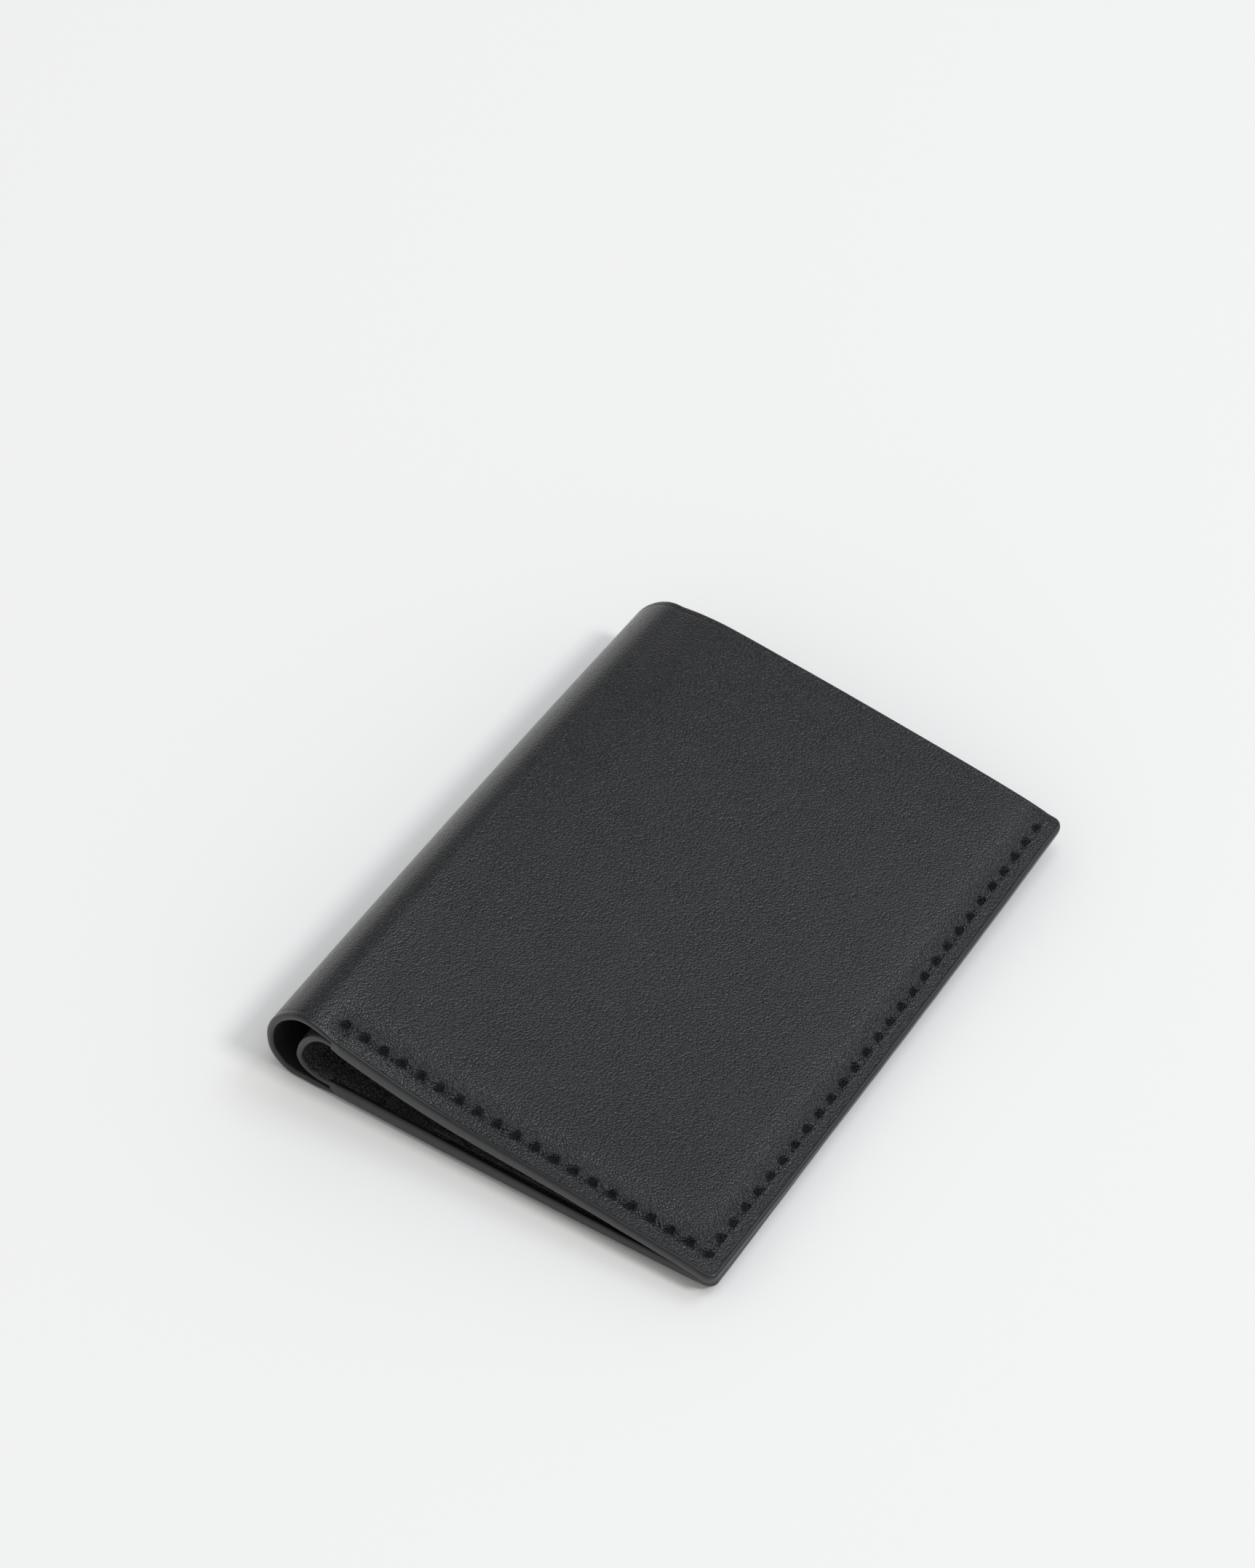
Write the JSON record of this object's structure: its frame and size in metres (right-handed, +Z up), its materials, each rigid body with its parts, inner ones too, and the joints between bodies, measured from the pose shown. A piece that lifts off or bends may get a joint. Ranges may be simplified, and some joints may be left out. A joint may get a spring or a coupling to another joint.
{
  "type": "bifold wallet",
  "caption": "Slim portrait bifold wallet in black leather, sewn at the bottom and open edges, with a note compartment, side-loading card pockets and a fold that opens flat.",
  "frame": {"origin": "centre of the closed wallet's box, on the surface it lies on", "axes": "+X from the fold to the open edge, +Y along the fold from the sewn bottom end to the open top end, +Z up from the back cover to the front cover"},
  "size_m": [0.0802, 0.1022, 0.0164],
  "materials": {
    "black_leather": "smooth fine-grained black leather with a soft satin sheen and painted edges",
    "inner_leather": "thin black leather, matt",
    "lining_cloth": "black woven lining",
    "stiff_board": "fibre board, hidden between leather and lining",
    "black_thread": "waxed twisted black thread"
  },
  "bodies": {
    "back_cover": {"back_shell": "black_leather", "back_stiffener_board": "stiff_board", "back_shell_lining": "lining_cloth", "back_liner": "inner_leather", "back_inner_card_pocket": "inner_leather", "back_outer_card_pocket": "inner_leather", "back_needle_thread": "black_thread", "back_bobbin_thread": "black_thread"},
    "spine_1": {"shell_spine_1": "black_leather", "lining_spine_1": "lining_cloth", "liner_spine_1": "inner_leather"},
    "spine_2": {"shell_spine_2": "black_leather", "lining_spine_2": "lining_cloth", "liner_spine_2": "inner_leather"},
    "spine_3": {"shell_spine_3": "black_leather", "lining_spine_3": "lining_cloth", "liner_spine_3": "inner_leather"},
    "front_cover": {"front_shell": "black_leather", "front_stiffener_board": "stiff_board", "front_shell_lining": "lining_cloth", "front_liner": "inner_leather", "front_inner_card_pocket": "inner_leather", "front_outer_card_pocket": "inner_leather", "front_needle_thread": "black_thread", "front_bobbin_thread": "black_thread"}
  },
  "joints": [
    {"name": "fold_1", "type": "hinge", "parent": "back_cover", "child": "spine_1", "pos_m": [-0.03528, 0, 0.00047], "axis": [0, -1, 0], "range_deg": [0, 47.1]},
    {"name": "fold_2", "type": "hinge", "parent": "spine_1", "child": "spine_2", "pos_m": [-0.03987, 0, 0.00541], "axis": [0, -1, 0], "range_deg": [0, 47.1]},
    {"name": "fold_3", "type": "hinge", "parent": "spine_2", "child": "spine_3", "pos_m": [-0.03938, 0, 0.01213], "axis": [0, -1, 0], "range_deg": [0, 47.1]},
    {"name": "fold_4", "type": "hinge", "parent": "spine_3", "child": "front_cover", "pos_m": [-0.03412, 0, 0.01634], "axis": [0, -1, 0], "range_deg": [0, 47.1]}
  ],
  "couplings": [
    {"joint": "fold_2", "follows": "fold_1", "ratio": 1},
    {"joint": "fold_3", "follows": "fold_1", "ratio": 1},
    {"joint": "fold_4", "follows": "fold_1", "ratio": 1}
  ]
}
